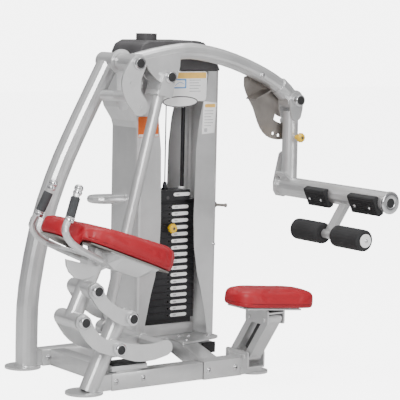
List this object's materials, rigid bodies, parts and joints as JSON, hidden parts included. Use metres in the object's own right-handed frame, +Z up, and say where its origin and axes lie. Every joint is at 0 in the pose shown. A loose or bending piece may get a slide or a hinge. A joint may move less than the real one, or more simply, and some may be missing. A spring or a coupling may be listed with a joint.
{
  "type": "gym leg kickback machine",
  "caption": "Gym weight-stack machine: swinging overhead arm with foot bar and foam rollers, rocking chest pad, shifting knee pad, steel tube frame and shrouded stack.",
  "frame": {"origin": "on the floor, under the middle of the machine's bounding box", "axes": "+X from the chest-pad end to the foot-bar end, +Y from the user side toward the weight tower, +Z up"},
  "size_m": [1.6572, 1.104, 1.517],
  "materials": {
    "dark_rod": "dark oiled steel",
    "frame_silver": "warm silver-grey metallic powder coat, satin",
    "zinc_steel": "warm brushed plated steel",
    "chrome": "bright chrome",
    "charcoal_plastic": "fine-textured moulded charcoal plastic",
    "black_rubber": "matt black rubber",
    "stack_iron": "black painted cast iron",
    "red_vinyl": "red upholstery vinyl, light sheen",
    "yellow_plastic": "glossy yellow moulded knob",
    "white_placard": "white printed-panel plastic, blank",
    "grip_rubber": "dark grey textured grip",
    "black_foam": "black closed-cell foam"
  },
  "bodies": {
    "base": {"main_rail": "frame_silver", "front_post": "frame_silver", "cross_tube": "frame_silver", "side_rail": "frame_silver", "diagonal_tube": "frame_silver", "tower_foot_tube": "frame_silver", "tower_floor_plate": "frame_silver", "link_stop_bumper": "black_rubber", "arch_frame": "frame_silver", "hanger_plate": "frame_silver", "main_pivot_pin": "chrome", "link_pin_post_lower": "chrome", "link_pin_post_upper": "chrome", "knee_mount": "frame_silver", "shroud_left": "frame_silver", "shroud_right": "frame_silver", "top_cap": "charcoal_plastic", "cup_holder": "charcoal_plastic", "instruction_panel": "white_placard", "blank_badge": "white_placard", "stack_base": "frame_silver", "guide_rod_left": "dark_rod", "guide_rod_right": "dark_rod", "stack_cushion": "black_rubber", "weight_plates_resting": "stack_iron", "step_in_rail": "frame_silver", "towel_peg": "zinc_steel"},
    "arm": {"exercise_arm": "frame_silver", "range_plate": "zinc_steel", "foot_arm_pivot_pin": "chrome"},
    "foot_lever": {"foot_arm": "frame_silver", "foot_pad_front": "black_rubber", "foot_pad_rear": "black_rubber", "roller_hanger": "frame_silver"},
    "roller_f": {"foam_roller_front": "black_foam"},
    "roller_r": {"foam_roller_rear": "black_foam"},
    "pull_pin": {"foot_arm_pull_pin": "yellow_plastic"},
    "rod": {"push_rod": "frame_silver", "rod_pivot_pin": "chrome"},
    "rocker": {"lower_link": "frame_silver"},
    "top_link_f": {"upper_link_front": "frame_silver"},
    "top_link_r": {"upper_link_rear": "frame_silver"},
    "carriage": {"chest_carriage": "frame_silver", "chest_pad": "red_vinyl", "chest_pad_pan": "zinc_steel", "handle_front": "frame_silver", "handle_rear": "frame_silver", "hand_grip_front": "grip_rubber", "hand_grip_rear": "grip_rubber", "link_pin_carriage_lower": "chrome", "link_pin_carriage_upper": "chrome"},
    "knee_front": {"knee_link_front": "frame_silver"},
    "knee_rear": {"knee_link_rear": "frame_silver"},
    "knee_top": {"knee_carrier": "frame_silver", "knee_pad": "red_vinyl"},
    "lifted_stack": {"head_plate": "stack_iron", "weight_plates_lifted": "stack_iron"},
    "pin_key": {"selector_pin": "yellow_plastic"}
  },
  "joints": [
    {"name": "arm_swing", "type": "hinge", "parent": "base", "child": "arm", "pos_m": [-0.15739, 0.192, 1.39], "axis": [0, -1, 0], "range_deg": [0, 35]},
    {"name": "foot_lever_set", "type": "hinge", "parent": "arm", "child": "foot_lever", "pos_m": [0.77261, 0.192, 1.208], "axis": [0, 1, 0], "range_deg": [0, 22]},
    {"name": "front_roller_spin", "type": "hinge", "parent": "foot_lever", "child": "roller_f", "pos_m": [0.65761, -0.417, 0.615], "axis": [0, 1, 0], "continuous": true},
    {"name": "rear_roller_spin", "type": "hinge", "parent": "foot_lever", "child": "roller_r", "pos_m": [0.65761, -0.1275, 0.615], "axis": [0, 1, 0], "continuous": true},
    {"name": "pull_pin_slide", "type": "slide", "parent": "foot_lever", "child": "pull_pin", "axis": [0, -1, 0], "range_m": [0, 0.014], "stiffness_N_per_m": 600, "springref_m": -0.006},
    {"name": "rod_swing", "type": "hinge", "parent": "arm", "child": "rod", "pos_m": [0.02261, 0.192, 1.326], "axis": [0, -1, 0], "range_deg": [-37, 0]},
    {"name": "rocker_swing", "type": "hinge", "parent": "base", "child": "rocker", "pos_m": [-0.51439, -0.208, 0.196], "axis": [0, -1, 0], "range_deg": [0, 31]},
    {"name": "top_link_front_swing", "type": "hinge", "parent": "base", "child": "top_link_f", "pos_m": [-0.45339, -0.297, 0.324], "axis": [0, -1, 0], "range_deg": [0, 31]},
    {"name": "top_link_rear_swing", "type": "hinge", "parent": "base", "child": "top_link_r", "pos_m": [-0.45339, -0.119, 0.324], "axis": [0, -1, 0], "range_deg": [0, 31]},
    {"name": "carriage_level", "type": "hinge", "parent": "rocker", "child": "carriage", "pos_m": [-0.69239, -0.208, 0.328], "axis": [0, -1, 0], "range_deg": [-31, 0]},
    {"name": "knee_pad_set", "type": "hinge", "parent": "base", "child": "knee_front", "pos_m": [0.23011, -0.263, 0.088], "axis": [-1, 0, 0], "range_deg": [0, 72]},
    {"name": "knee_rear_follow", "type": "hinge", "parent": "base", "child": "knee_rear", "pos_m": [0.23011, -0.153, 0.088], "axis": [-1, 0, 0], "range_deg": [0, 72]},
    {"name": "knee_top_level", "type": "hinge", "parent": "knee_front", "child": "knee_top", "pos_m": [0.23011, -0.403, 0.278], "axis": [-1, 0, 0], "range_deg": [-72, 0]},
    {"name": "stack_lift", "type": "slide", "parent": "base", "child": "lifted_stack", "axis": [0, 0, 1], "range_m": [0, 0.262]},
    {"name": "selector_pull", "type": "slide", "parent": "lifted_stack", "child": "pin_key", "axis": [0, -1, 0], "range_m": [0, 0.11]}
  ],
  "couplings": [
    {"joint": "rod_swing", "follows": "arm_swing", "ratio": -1.05},
    {"joint": "rocker_swing", "follows": "arm_swing", "ratio": 0.881},
    {"joint": "top_link_front_swing", "follows": "arm_swing", "ratio": 0.881},
    {"joint": "top_link_rear_swing", "follows": "arm_swing", "ratio": 0.881},
    {"joint": "carriage_level", "follows": "arm_swing", "ratio": -0.881},
    {"joint": "stack_lift", "follows": "arm_swing", "m_per_rad": 0.4256},
    {"joint": "knee_rear_follow", "follows": "knee_pad_set", "ratio": 1},
    {"joint": "knee_top_level", "follows": "knee_pad_set", "ratio": -1}
  ]
}
